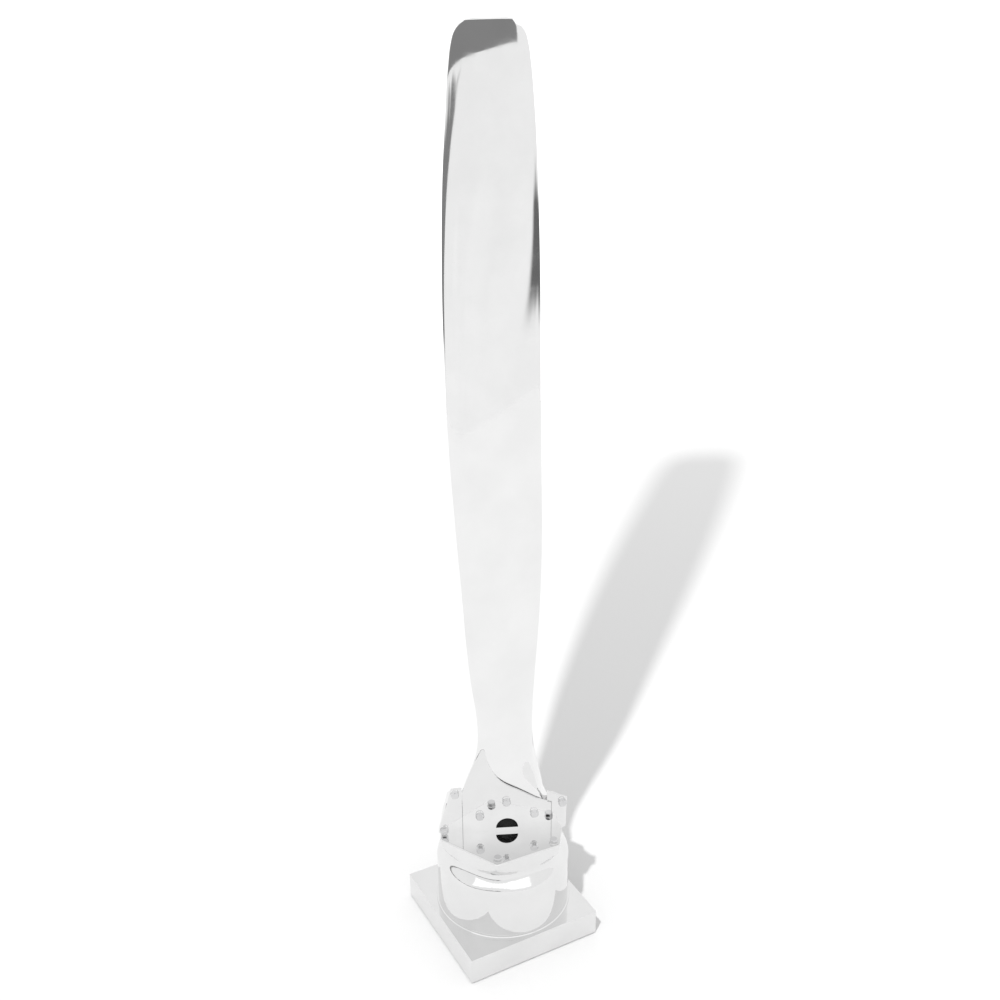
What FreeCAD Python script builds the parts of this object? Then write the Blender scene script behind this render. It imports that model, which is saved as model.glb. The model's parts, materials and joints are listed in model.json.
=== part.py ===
"""Polished aluminium propeller blade on a display stand: half of a fixed-pitch propeller stands on end
on a drum with a six-sided top, and the drum stands on a square plinth.

Millimetres. The origin is the centre of the plinth's underside on the floor, +Z is up, and the plinth's
front face looks towards -Y. The drum stands a little to the right of the plinth's centre, and the root
stands on the drum turned BLADE_YAW degrees about the vertical. Everything in the root is drawn in the
root's own frame, with X along the half hub's width, -Y towards its front face and X = 0 at its centre.
"""
import FreeCAD
import Part
import math
import os

# Driving dimensions: plinth
BASE_SIDE = 254.0
BASE_TOP = 50.0
FELT_THICK = 2.0
FELT_INSET = 3.0
COVER_WALL = 4.0
COVER_TOP_WALL = 6.0
COVER_EDGE_ROUND = 1.6
BALLAST_THICK = 12.0
CORE_CLEARANCE = 0.5

# Driving dimensions: drum
DRUM_SHIFT = 4.5
DRUM_RADIUS = 119.0
DRUM_WALL = 4.0
RING_RADIUS = 122.0
RING_INNER_RADIUS = 98.0
RING_THICK = 4.5
RING_ROUND = 1.8
FLOOR_RADIUS = 112.0
FLOOR_THICK = 8.0
SHOULDER_START = 143.0
SHOULDER_END = 178.0
DRUM_TOP = 212.0
HEX_BAND = 6.0
HEX_APOTHEM = 106.0
HEX_FOOT_POWER = 5.5
HEX_CORNER_POWER = 60.0
HEX_CORNER_AZIMUTH = -33.0
HEX_EDGE_ROUND = 2.0
DRUM_POINTS = 180
BACKING_THICK = 10.0
BACKING_CLEARANCE = 0.5
CAP_BOLT_CIRCLE = 108.0
CAP_BOLT_CORNERS = (0, 1, 2, 3, 4)

# Driving dimensions: half hub and blade
BLADE_YAW = -24.0
HUB_SHIFT = 5.6
HUB_HALF_WIDTH = 80.0
HUB_HALF_THICK = 27.0
HUB_TOP = 240.0
HUB_SQUARENESS = 14.0
PLATE_THICK = 4.0
PLATE_HALF_WIDTH = 78.1
PLATE_GAP = 0.5
REAR_PLATE_HALF_WIDTH = 74.0
REAR_PLATE_LEFT_TOP = 252.0
REAR_PLATE_CROWN = 290.0
REAR_PLATE_RIGHT_TOP = 242.0
BORE_RADIUS = 19.5
BORE_SILL = 7.5
BORE_INSERT_RECESS = 9.0
HUB_BOLT_CIRCLE_RADIUS = 56.0
HUB_BOLT_ANGLES = (31.0, 91.0, 149.0)

# Height, left edge, right edge, pitch, skew, front bulge, rear bulge, squareness, nose bias
BLADE_STATIONS = (
    (HUB_TOP, -HUB_HALF_WIDTH, HUB_HALF_WIDTH, 0.0, 0.0, HUB_HALF_THICK, HUB_HALF_THICK, HUB_SQUARENESS, 0.0),
    (255.0, -78.3, 73.8, 0.0, 2.0, 27.0, 27.0, 14.0, 0.0),
    (268.0, -76.0, 68.0, 0.6, 5.0, 26.9, 26.9, 12.0, 0.0),
    (281.0, -73.7, 64.5, 1.5, 8.0, 26.7, 26.7, 11.0, 0.0),
    (302.0, -71.0, 59.0, 4.5, 12.0, 26.0, 26.0, 9.0, 0.01),
    (325.0, -64.5, 53.5, 9.5, 16.0, 24.5, 24.3, 6.5, 0.02),
    (350.0, -56.8, 51.0, 15.5, 14.0, 22.0, 21.2, 4.4, 0.05),
    (376.0, -51.2, 49.8, 20.0, 8.0, 20.0, 18.2, 3.0, 0.10),
    (402.0, -49.0, 49.0, 22.0, 2.0, 18.4, 15.8, 2.5, 0.16),
    (440.0, -50.0, 50.0, 21.5, 0.0, 16.6, 13.0, 2.2, 0.22),
    (505.0, -58.0, 53.5, 19.0, 0.0, 13.6, 9.3, 2.0, 0.30),
    (582.0, -65.0, 58.5, 16.5, 0.0, 11.8, 7.2, 2.0, 0.36),
    (658.0, -69.5, 62.0, 14.0, 0.0, 10.5, 5.9, 2.0, 0.40),
    (767.0, -76.5, 63.5, 11.0, 0.0, 9.3, 4.8, 2.0, 0.42),
    (905.0, -84.5, 61.0, 8.0, 0.0, 8.3, 3.9, 2.0, 0.42),
    (1036.0, -88.5, 59.2, 6.0, 0.0, 7.4, 3.3, 2.0, 0.42),
    (1218.0, -88.5, 56.8, 4.0, 0.0, 6.4, 2.7, 2.0, 0.42),
    (1332.0, -84.5, 53.0, 2.6, 0.0, 5.6, 2.3, 2.0, 0.42),
    (1430.0, -77.5, 47.7, 1.4, 0.0, 4.8, 2.0, 2.0, 0.40),
    (1490.0, -72.6, 42.2, 0.7, 0.0, 4.1, 1.7, 2.0, 0.36),
    (1515.0, -68.8, 38.5, 0.4, 0.0, 3.7, 1.5, 2.0, 0.30),
    (1530.0, -64.0, 34.0, 0.2, 0.0, 3.2, 1.4, 2.0, 0.24),
    (1538.0, -58.5, 29.5, 0.1, 0.0, 2.6, 1.2, 2.0, 0.16),
    (1543.0, -52.5, 24.0, 0.0, 0.0, 2.0, 1.0, 2.0, 0.08),
    (1546.0, -45.5, 18.0, 0.0, 0.0, 1.3, 0.8, 2.0, 0.0),
    (1547.4, -34.0, 9.0, 0.0, 0.0, 0.7, 0.5, 2.0, 0.0),
)
SECTION_POINTS = 72

# Driving dimensions: side brackets and the gusset blocks behind them, from the hub's centre plane
FLANGE_THICK = 4.5
FLANGE_INNER = 78.6
LEFT_FOOT_REACH = 120.5
LEFT_TOP_REACH = 99.0
LEFT_TOP = 305.0
RIGHT_FOOT_REACH = 105.0
RIGHT_TOP_REACH = 107.0
RIGHT_TOP = 275.5
RIGHT_INNER_TOP = 288.0
RIGHT_NOTCH_REACH = 70.6
RIGHT_NOTCH_FOOT = 270.5
RIGHT_NOTCH_RISE = 3.0
RETURN_DEPTH = 16.0
RETURN_SLOPE = 1.0
BRACKET_BEND = 9.0
GUSSET_INSET = 2.0
GUSSET_TOP_DROP = 3.0
GUSSET_LEDGE = 6.0
GUSSET_SLOPE = 0.93
SIDE_SCREW_HEIGHTS = (226.0, 246.0)
SIDE_SCREW_GRIP = 20.0
SIDE_SCREW_HEAD = 8.0
BRACKET_BOLT_GRIP = 6.0

# Driving dimensions: fasteners
M8_RADIUS = 4.0
M8_FLATS = 13.0
M8_HEAD = 5.3
M8_NUT = 6.5
M8_WASHER_RADIUS = 8.0
M8_WASHER_THICK = 1.6
M12_RADIUS = 6.0
M12_FLATS = 18.0
M12_NUT = 10.0
M12_WASHER_RADIUS = 12.0
M12_WASHER_THICK = 2.5
SOCKET_HEAD = 6.0
SOCKET_FLATS = 6.0
BASE_BOLT_CIRCLE = 75.0
BASE_BOLT_COUNT = 4
BOLT_CLEARANCE = 0.3
THREAD_CLEARANCE = 0.02
ROD_SPACING = 32.0
ROD_TOP = 248.0

Z_AXIS = FreeCAD.Vector(0, 0, 1)
Y_AXIS = FreeCAD.Vector(0, 1, 0)
X_AXIS = FreeCAD.Vector(1, 0, 0)
COVER_UNDERSIDE = BASE_TOP - COVER_TOP_WALL
BALLAST_TOP = FELT_THICK + BALLAST_THICK
RING_TOP = BASE_TOP + RING_THICK
FLOOR_TOP = RING_TOP + FLOOR_THICK
DRUM_CEILING = DRUM_TOP - DRUM_WALL
BACKING_UNDERSIDE = DRUM_CEILING - BACKING_THICK
BORE_CENTRE = DRUM_TOP + BORE_SILL
FACE_DEPTH = HUB_HALF_THICK + PLATE_THICK
FLANGE_BACK = FLANGE_THICK - FACE_DEPTH


# Shape helpers
def block(x0, x1, y0, y1, z0, z1):
    return Part.makeBox(x1 - x0, y1 - y0, z1 - z0, FreeCAD.Vector(x0, y0, z0))


def upright_cylinder(radius, z0, z1, x=0.0, y=0.0):
    return Part.makeCylinder(radius, z1 - z0, FreeCAD.Vector(x, y, z0), Z_AXIS)


def hexagon_bar(flats, height, base, direction):
    """A six-sided bar with its base centre at base, running along direction, with chamfered far corners."""
    across = flats / math.cos(math.radians(30))
    corners = [FreeCAD.Vector(across / 2 * math.cos(math.radians(60 * k)),
                              across / 2 * math.sin(math.radians(60 * k)), 0) for k in range(7)]
    bar = Part.Face(Part.makePolygon(corners)).extrude(FreeCAD.Vector(0, 0, height))
    rounding = Part.makeCone(across / 2 + height * 0.6, flats * 0.45, height * 1.001 + 0.01,
                             FreeCAD.Vector(0, 0, 0), Z_AXIS)
    tip_cut = Part.makeCone(across / 2 + height * 1.6, flats * 0.47, height,
                            FreeCAD.Vector(0, 0, 0), Z_AXIS)
    bar = bar.common(tip_cut) if height > flats else bar.common(rounding)
    bar.Placement = FreeCAD.Placement(base, FreeCAD.Rotation(Z_AXIS, direction))
    return bar


def bolt(radius, flats, head, base, direction, length):
    """A hexagon bolt: the head rises from base along direction, and the shank goes the other way."""
    shank = Part.makeCylinder(radius, length, base, direction * -1)
    return hexagon_bar(flats, head, base, direction).fuse(shank).removeSplitter()


def washer(outer, inner, thick, base, direction):
    ring = Part.makeCylinder(outer, thick, base, direction)
    return ring.cut(Part.makeCylinder(inner, thick, base, direction))


def nut(flats, radius, height, base, direction):
    bore = Part.makeCylinder(radius, height * 3, base - direction * height, direction)
    return hexagon_bar(flats, height, base, direction).cut(bore)


def on_drum(shape):
    moved = shape.copy()
    moved.translate(FreeCAD.Vector(DRUM_SHIFT, 0, 0))
    return moved


def in_root(shape):
    moved = shape.copy()
    moved.translate(FreeCAD.Vector(HUB_SHIFT, 0, 0))
    moved.rotate(FreeCAD.Vector(0, 0, 0), Z_AXIS, BLADE_YAW)
    return on_drum(moved)


def write(name, *solids):
    shape = solids[0] if len(solids) == 1 else Part.makeCompound(list(solids))
    shape.exportStep("parts/" + name + ".step")
    print(name, len(shape.Solids), "solid(s), valid", shape.isValid(), "volume", round(shape.Volume))


# Positions that several pieces share
def base_bolt_places():
    return [FreeCAD.Vector(BASE_BOLT_CIRCLE * math.cos(math.radians(45 + 360 / BASE_BOLT_COUNT * k)),
                           BASE_BOLT_CIRCLE * math.sin(math.radians(45 + 360 / BASE_BOLT_COUNT * k)), 0)
            for k in range(BASE_BOLT_COUNT)]


def rod_places():
    """The two tie rods' centres, from the drum's axis."""
    turn = FreeCAD.Rotation(Z_AXIS, BLADE_YAW)
    return [turn.multVec(FreeCAD.Vector(HUB_SHIFT + side * ROD_SPACING, 0, 0)) for side in (-1, 1)]


def cap_bolt_places():
    azimuths = [math.radians(HEX_CORNER_AZIMUTH + 60 * k) for k in CAP_BOLT_CORNERS]
    return [FreeCAD.Vector(CAP_BOLT_CIRCLE * math.sin(a), -CAP_BOLT_CIRCLE * math.cos(a), 0)
            for a in azimuths]


def hub_bolt_places():
    """The hub bolts' centres in the root's X and Z."""
    return [(HUB_BOLT_CIRCLE_RADIUS * math.cos(math.radians(a)),
             BORE_CENTRE + HUB_BOLT_CIRCLE_RADIUS * math.sin(math.radians(a))) for a in HUB_BOLT_ANGLES]


def bracket_bolt_places():
    """Left top, left foot and right top, in the root's X and Z."""
    return [(-91.0, 297.0), (-111.0, 222.0), (97.5, 268.5)]


def drill_up(shape, places, radius, z0, z1):
    for place in places:
        shape = shape.cut(upright_cylinder(radius, z0, z1, place.x, place.y))
    return shape


def drill_through(shape, places, radius, y0, y1):
    for x, z in places:
        shape = shape.cut(Part.makeCylinder(radius, y1 - y0, FreeCAD.Vector(x, y0, z), Y_AXIS))
    return shape


# Plinth
def make_felt():
    half = BASE_SIDE / 2 - FELT_INSET
    return block(-half, half, -half, half, 0, FELT_THICK)


def make_cover():
    half = BASE_SIDE / 2
    cover = block(-half, half, -half, half, FELT_THICK, BASE_TOP)
    upper = [edge for edge in cover.Edges if edge.BoundBox.ZMax > FELT_THICK + 1]
    cover = cover.makeFillet(COVER_EDGE_ROUND, upper)
    inner = half - COVER_WALL
    cover = cover.cut(block(-inner, inner, -inner, inner, FELT_THICK, COVER_UNDERSIDE))
    places = [p + FreeCAD.Vector(DRUM_SHIFT, 0, 0) for p in base_bolt_places()]
    cover = drill_up(cover, places, M8_RADIUS + BOLT_CLEARANCE, COVER_UNDERSIDE, BASE_TOP)
    nuts = [p + FreeCAD.Vector(DRUM_SHIFT, 0, 0) for p in rod_places()]
    return drill_up(cover, nuts, M12_WASHER_RADIUS + 2, COVER_UNDERSIDE, BASE_TOP)


def make_core():
    half = BASE_SIDE / 2 - COVER_WALL - CORE_CLEARANCE
    core = block(-half, half, -half, half, BALLAST_TOP, COVER_UNDERSIDE)
    places = [p + FreeCAD.Vector(DRUM_SHIFT, 0, 0) for p in base_bolt_places()]
    core = drill_up(core, places, M8_RADIUS + BOLT_CLEARANCE, BALLAST_TOP, COVER_UNDERSIDE)
    nuts = [p + FreeCAD.Vector(DRUM_SHIFT, 0, 0) for p in rod_places()]
    return drill_up(core, nuts, M12_WASHER_RADIUS + 2, COVER_UNDERSIDE - M12_NUT, COVER_UNDERSIDE)


def make_ballast():
    half = BASE_SIDE / 2 - COVER_WALL - CORE_CLEARANCE
    ballast = block(-half, half, -half, half, FELT_THICK, BALLAST_TOP)
    places = [p + FreeCAD.Vector(DRUM_SHIFT, 0, 0) for p in base_bolt_places()]
    ballast = drill_up(ballast, places, M8_RADIUS + BOLT_CLEARANCE, FELT_THICK, BALLAST_TOP)
    return drill_up(ballast, places, M8_FLATS * 0.65, FELT_THICK, FELT_THICK + M8_HEAD + 0.7)


def make_base_bolts():
    seat = FELT_THICK + M8_HEAD + 0.7
    return [bolt(M8_RADIUS, M8_FLATS, M8_HEAD, place + FreeCAD.Vector(0, 0, seat), Z_AXIS * -1,
                 FLOOR_TOP + 2 - seat) for place in base_bolt_places()]


# Drum
def hexagon_radius(azimuth, apothem, power):
    """Radius of a hexagon with rounded corners, at an azimuth in degrees from -Y towards +X."""
    total = 0.0
    for k in range(6):
        flat = math.radians(azimuth - HEX_CORNER_AZIMUTH - 30 - 60 * k)
        total += max(0.0, math.cos(flat)) ** power
    return apothem / total ** (1 / power)


def drum_wire(z, inset):
    """The drum's outline at a height: a circle, then a soft hexagon, then one with sharper corners."""
    part = min(1.0, max(0.0, (z - SHOULDER_START) / (SHOULDER_END - SHOULDER_START)))
    blend = part * part * (3 - 2 * part)
    rise = max(0.0, (z - SHOULDER_END) / (DRUM_TOP - SHOULDER_END))
    power = HEX_FOOT_POWER + (HEX_CORNER_POWER - HEX_FOOT_POWER) * rise * rise
    points = []
    for k in range(DRUM_POINTS):
        azimuth = 360 * k / DRUM_POINTS
        hexagon = hexagon_radius(azimuth, HEX_APOTHEM - inset, power)
        reach = (DRUM_RADIUS - inset) * (1 - blend) + hexagon * blend
        turn = math.radians(azimuth)
        points.append(FreeCAD.Vector(reach * math.sin(turn), -reach * math.cos(turn), z))
    curve = Part.BSplineCurve()
    curve.interpolate(Points=points, PeriodicFlag=True)
    return Part.Wire(curve.toShape())


def drum_form(inset, bottom, top, edge_round):
    """A round drum whose shoulder draws in to a six-sided top."""
    band_foot = DRUM_TOP - HEX_BAND
    heights = [SHOULDER_START + (SHOULDER_END - SHOULDER_START) * k / 6 for k in range(7)]
    heights += [SHOULDER_END + (band_foot - SHOULDER_END) * k / 4 for k in range(1, 5)]
    lower = Part.Face(drum_wire(bottom, inset)).extrude(FreeCAD.Vector(0, 0, SHOULDER_START - bottom))
    form = lower.fuse(Part.makeLoft([drum_wire(z, inset) for z in heights], True, False))
    if top > band_foot:
        upper = Part.Face(drum_wire(band_foot, inset)).extrude(FreeCAD.Vector(0, 0, top - band_foot))
        if edge_round:
            upper = upper.makeFillet(edge_round, [e for e in upper.Edges if e.BoundBox.ZMin > top - 0.01])
        form = form.fuse(upper)
    return form


def make_drum_body():
    outer = drum_form(0, RING_TOP, DRUM_TOP, HEX_EDGE_ROUND)
    body = outer.cut(drum_form(DRUM_WALL, RING_TOP, DRUM_CEILING, 0))
    body = drill_up(body, cap_bolt_places(), M8_RADIUS + BOLT_CLEARANCE, DRUM_CEILING, DRUM_TOP)
    return drill_up(body, rod_places(), M12_RADIUS + BOLT_CLEARANCE, DRUM_CEILING, DRUM_TOP)


def make_ring():
    ring = upright_cylinder(RING_RADIUS, BASE_TOP, RING_TOP)
    rim = [edge for edge in ring.Edges if edge.BoundBox.ZMin > RING_TOP - 0.01]
    ring = ring.makeFillet(RING_ROUND, rim)
    return ring.cut(upright_cylinder(RING_INNER_RADIUS, BASE_TOP, RING_TOP))


def make_drum_floor():
    floor = upright_cylinder(FLOOR_RADIUS, RING_TOP, FLOOR_TOP)
    floor = drill_up(floor, base_bolt_places(), M8_RADIUS + THREAD_CLEARANCE, RING_TOP, FLOOR_TOP)
    return drill_up(floor, rod_places(), M12_RADIUS + BOLT_CLEARANCE, RING_TOP, FLOOR_TOP)


def make_top_backing():
    outline = drum_wire(BACKING_UNDERSIDE, DRUM_WALL + BACKING_CLEARANCE)
    plate = Part.Face(outline).extrude(FreeCAD.Vector(0, 0, BACKING_THICK))
    plate = drill_up(plate, cap_bolt_places(), M8_RADIUS + THREAD_CLEARANCE, BACKING_UNDERSIDE, DRUM_CEILING)
    return drill_up(plate, rod_places(), M12_RADIUS + BOLT_CLEARANCE, BACKING_UNDERSIDE, DRUM_CEILING)


def make_cap_fasteners():
    rise = FreeCAD.Vector(0, 0, DRUM_TOP)
    lift = FreeCAD.Vector(0, 0, DRUM_TOP + M8_WASHER_THICK)
    bolts = [bolt(M8_RADIUS, M8_FLATS, M8_HEAD, place + lift, Z_AXIS,
                  DRUM_TOP + M8_WASHER_THICK - BACKING_UNDERSIDE + 2) for place in cap_bolt_places()]
    washers = [washer(M8_WASHER_RADIUS, M8_RADIUS + BOLT_CLEARANCE, M8_WASHER_THICK, place + rise, Z_AXIS)
               for place in cap_bolt_places()]
    return bolts, washers


def make_tie_rods():
    foot = RING_TOP - M12_WASHER_THICK - M12_NUT - 2
    rods = [upright_cylinder(M12_RADIUS, foot, ROD_TOP, p.x, p.y) for p in rod_places()]
    seats = [p + FreeCAD.Vector(0, 0, RING_TOP - M12_WASHER_THICK) for p in rod_places()]
    washers = [washer(M12_WASHER_RADIUS, M12_RADIUS + BOLT_CLEARANCE, M12_WASHER_THICK, seat, Z_AXIS)
               for seat in seats]
    nuts = [nut(M12_FLATS, M12_RADIUS + THREAD_CLEARANCE, M12_NUT, seat, Z_AXIS * -1) for seat in seats]
    return rods, washers, nuts


# Half hub and blade
def section_points(left, right, pitch, skew, front, rear, squareness, nose):
    """Points round one section, from the trailing edge over the front to the leading edge and back."""
    middle = (left + right) / 2
    half = (right - left) / 2
    rise, lean = math.tan(math.radians(pitch)), math.tan(math.radians(skew))
    points = []
    for k in range(SECTION_POINTS):
        turn = 2 * math.pi * k / SECTION_POINTS
        along, across = math.cos(turn), math.sin(turn)
        scale = (abs(along) ** squareness + abs(across) ** squareness) ** (-1 / squareness)
        along, across = along * scale, across * scale
        bulge = front if across > 0 else rear
        thick = -bulge * across * (1 - nose * along)
        points.append((middle + half * along + thick * lean, half * along * rise + thick))
    return points


def section_parameters():
    """Curve parameters that every section shares, so that the loft joins like points and stays light."""
    points = section_points(*BLADE_STATIONS[0][1:])
    parameters = [0.0]
    for here, there in zip(points, points[1:] + points[:1]):
        parameters.append(parameters[-1] + math.sqrt(math.dist(here, there)))
    return parameters


def section_wire(station):
    height = station[0]
    points = [FreeCAD.Vector(x, y, height) for x, y in section_points(*station[1:])]
    curve = Part.BSplineCurve()
    curve.interpolate(Points=points + points[:1], Parameters=section_parameters())
    return Part.Wire(curve.toShape())


def make_blade():
    hub_station = (DRUM_TOP,) + BLADE_STATIONS[0][1:]
    hub = Part.Face(section_wire(hub_station)).extrude(FreeCAD.Vector(0, 0, HUB_TOP - DRUM_TOP))
    airfoil = Part.makeLoft([section_wire(station) for station in BLADE_STATIONS], True, False)
    blade = hub.fuse(airfoil)
    for outline, side in ((front_plate_outline(PLATE_GAP), -1), (rear_plate_outline(PLATE_GAP), 1)):
        seat = Part.Face(outline).extrude(FreeCAD.Vector(0, side * HUB_HALF_THICK, 0))
        seat.translate(FreeCAD.Vector(0, side * HUB_HALF_THICK, 0))
        blade = blade.cut(seat)
    blade = blade.cut(half_bore(BORE_RADIUS, -FACE_DEPTH, FACE_DEPTH))
    blade = drill_through(blade, hub_bolt_places(), M8_RADIUS + BOLT_CLEARANCE, -FACE_DEPTH, FACE_DEPTH)
    rods = [FreeCAD.Vector(side * ROD_SPACING, 0, 0) for side in (-1, 1)]
    blade = drill_up(blade, rods, M12_RADIUS + THREAD_CLEARANCE, DRUM_TOP, ROD_TOP + 1)
    for side in (-1, 1):
        for z in SIDE_SCREW_HEIGHTS:
            start = FreeCAD.Vector(side * (HUB_HALF_WIDTH + 1), 0, z)
            blade = blade.cut(Part.makeCylinder(M8_RADIUS + THREAD_CLEARANCE, SIDE_SCREW_GRIP + 2, start,
                                                X_AXIS * -side))
    return blade


def half_bore(radius, y0, y1):
    """The upper half of the crankshaft bore, standing on the sill."""
    bore = Part.makeCylinder(radius, y1 - y0, FreeCAD.Vector(0, y0, BORE_CENTRE), Y_AXIS)
    return bore.common(block(-radius, radius, y0, y1, BORE_CENTRE, BORE_CENTRE + radius + 1))


def make_bore_insert():
    reach = FACE_DEPTH - BORE_INSERT_RECESS
    return half_bore(BORE_RADIUS - 0.2, -reach, reach)


# Face plates
def in_face(x, z):
    return FreeCAD.Vector(x, 0, z)


def front_plate_outline(gap=0.0):
    """A straight foot and sides, a hollow top edge, and a horn up the leading edge, in the plane Y = 0."""
    half = PLATE_HALF_WIDTH + gap
    slant = gap * math.sqrt(0.5)
    foot_left, foot_right = in_face(-half, DRUM_TOP), in_face(half, DRUM_TOP)
    right_top, left_top = in_face(half, 268.0 + gap), in_face(-half, 299.0 + gap)
    horn_outer, horn_inner = in_face(-44.5 - gap, 384.0), in_face(-37.5 + gap, 378.5)
    hollow = [in_face(x + slant, z + slant) for x, z in ((57.0, 275.6), (23.6, 295.6), (-7.2, 314.8),
                                                         (-26.9, 343.0))]
    flank = [in_face(x - slant, z + slant) for x, z in ((-54.0, 363.0), (-70.5, 322.0))]
    shoulder, horn_side, horn_tip = Part.BSplineCurve(), Part.BSplineCurve(), Part.BSplineCurve()
    shoulder.interpolate([right_top] + hollow + [horn_inner])
    horn_tip.interpolate([horn_inner, in_face(-41.0, 386.0 + gap), horn_outer])
    horn_side.interpolate([horn_outer] + flank + [left_top])
    edges = [Part.makeLine(foot_left, foot_right), Part.makeLine(foot_right, right_top), shoulder.toShape(),
             horn_tip.toShape(), horn_side.toShape(), Part.makeLine(left_top, foot_left)]
    return Part.Wire(edges)


def rear_plate_outline(gap=0.0):
    """A straight foot and sides under one arc, in the plane Y = 0."""
    half = REAR_PLATE_HALF_WIDTH + gap
    foot_left, foot_right = in_face(-half, DRUM_TOP), in_face(half, DRUM_TOP)
    left_top, right_top = in_face(-half, REAR_PLATE_LEFT_TOP + gap), in_face(half, REAR_PLATE_RIGHT_TOP + gap)
    crown = Part.Arc(right_top, in_face(0, REAR_PLATE_CROWN + gap), left_top)
    return Part.Wire([Part.makeLine(foot_left, foot_right), Part.makeLine(foot_right, right_top),
                      crown.toShape(), Part.makeLine(left_top, foot_left)])


def make_face_plate(outline, side):
    """A plate bolted to the hub's front face (side -1) or rear face (side 1)."""
    plate = Part.Face(outline).extrude(FreeCAD.Vector(0, side * PLATE_THICK, 0))
    plate.translate(FreeCAD.Vector(0, side * HUB_HALF_THICK, 0))
    plate = plate.cut(half_bore(BORE_RADIUS, -FACE_DEPTH, FACE_DEPTH))
    return drill_through(plate, hub_bolt_places(), M8_RADIUS + BOLT_CLEARANCE, -FACE_DEPTH, FACE_DEPTH)


def make_hub_fasteners():
    """Bolts from the front plate to nuts on the rear plate, with a washer under each."""
    bolts, washers, nuts = [], [], []
    for x, z in hub_bolt_places():
        front = FreeCAD.Vector(x, -FACE_DEPTH, z)
        rear = FreeCAD.Vector(x, FACE_DEPTH, z)
        head_seat = front - Y_AXIS * M8_WASHER_THICK
        length = 2 * FACE_DEPTH + 2 * M8_WASHER_THICK + M8_NUT + 2
        bolts.append(bolt(M8_RADIUS, M8_FLATS, M8_HEAD, head_seat, Y_AXIS * -1, length))
        for seat, out in ((front, Y_AXIS * -1), (rear, Y_AXIS)):
            washers.append(washer(M8_WASHER_RADIUS, M8_RADIUS + BOLT_CLEARANCE, M8_WASHER_THICK, seat, out))
        nuts.append(nut(M8_FLATS, M8_RADIUS + THREAD_CLEARANCE, M8_NUT,
                        rear + Y_AXIS * M8_WASHER_THICK, Y_AXIS))
    return bolts, washers, nuts


# Side brackets: a front flange with a bent outer edge, screwed to a gusset block beside the hub
def front_profile(inner, foot, top, inner_z, outer_z, side):
    """The outline of a bracket seen from the front, standing on the drum; side is -1 left, 1 right."""
    return [(side * inner, DRUM_TOP), (side * foot, DRUM_TOP), (side * top, outer_z), (side * inner, inner_z)]


def upright_slab(corners, y0, y1):
    points = [FreeCAD.Vector(x, y0, z) for x, z in corners]
    return Part.Face(Part.makePolygon(points + points[:1])).extrude(FreeCAD.Vector(0, y1 - y0, 0))


def above_slope(inner, top, inner_z, outer_z, start_y, slope, side):
    """Everything above a plane that follows the bracket's top edge and falls away to the rear."""
    origin = FreeCAD.Vector(side * inner, start_y, inner_z)
    along = FreeCAD.Vector(side * (top - inner), 0, outer_z - inner_z)
    rearward = FreeCAD.Vector(0, 1, -slope)
    normal = along.cross(rearward) * side
    slab = block(-300, 300, -300, 300, 0, 300)
    slab.Placement = FreeCAD.Placement(origin, FreeCAD.Rotation(Z_AXIS, normal))
    return slab


def own_bolts(side):
    return [place for place in bracket_bolt_places() if place[0] * side > 0]


def make_bracket(foot, top, inner_z, outer_z, side):
    depth = RETURN_DEPTH - FACE_DEPTH
    outline = front_profile(FLANGE_INNER, foot, top, inner_z, outer_z, side)
    bracket = upright_slab(outline, -FACE_DEPTH, depth)
    bends = [edge for edge in bracket.Edges if abs(edge.BoundBox.YMax - edge.BoundBox.YMin) < 0.01
             and edge.BoundBox.YMax < -FACE_DEPTH + 0.01
             and abs(edge.BoundBox.Center.x) > (FLANGE_INNER + top) / 2
             and edge.BoundBox.ZMax - edge.BoundBox.ZMin > (outer_z - DRUM_TOP) / 2]
    bracket = bracket.makeFillet(BRACKET_BEND, bends)
    wall = FLANGE_THICK
    lift = wall * 10
    hollow = front_profile(FLANGE_INNER - 1, foot - wall, top - wall, inner_z + lift, outer_z + lift, side)
    bracket = bracket.cut(upright_slab(hollow, FLANGE_BACK, depth + 1))
    bracket = bracket.cut(above_slope(FLANGE_INNER, top, inner_z, outer_z, FLANGE_BACK, RETURN_SLOPE, side))
    return drill_through(bracket, own_bolts(side), M8_RADIUS + BOLT_CLEARANCE, -FACE_DEPTH, FLANGE_BACK)


def make_right_lug():
    """The right flange reaches in over the face plate's shoulder."""
    slant = (RIGHT_INNER_TOP - RIGHT_TOP) / (RIGHT_TOP_REACH - FLANGE_INNER)
    rise = slant * (FLANGE_INNER - RIGHT_NOTCH_REACH)
    corners = [(FLANGE_INNER, RIGHT_NOTCH_FOOT), (FLANGE_INNER, RIGHT_INNER_TOP),
               (RIGHT_NOTCH_REACH, RIGHT_INNER_TOP + rise),
               (RIGHT_NOTCH_REACH, RIGHT_NOTCH_FOOT + RIGHT_NOTCH_RISE)]
    return upright_slab(corners, -FACE_DEPTH, FLANGE_BACK)


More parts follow.
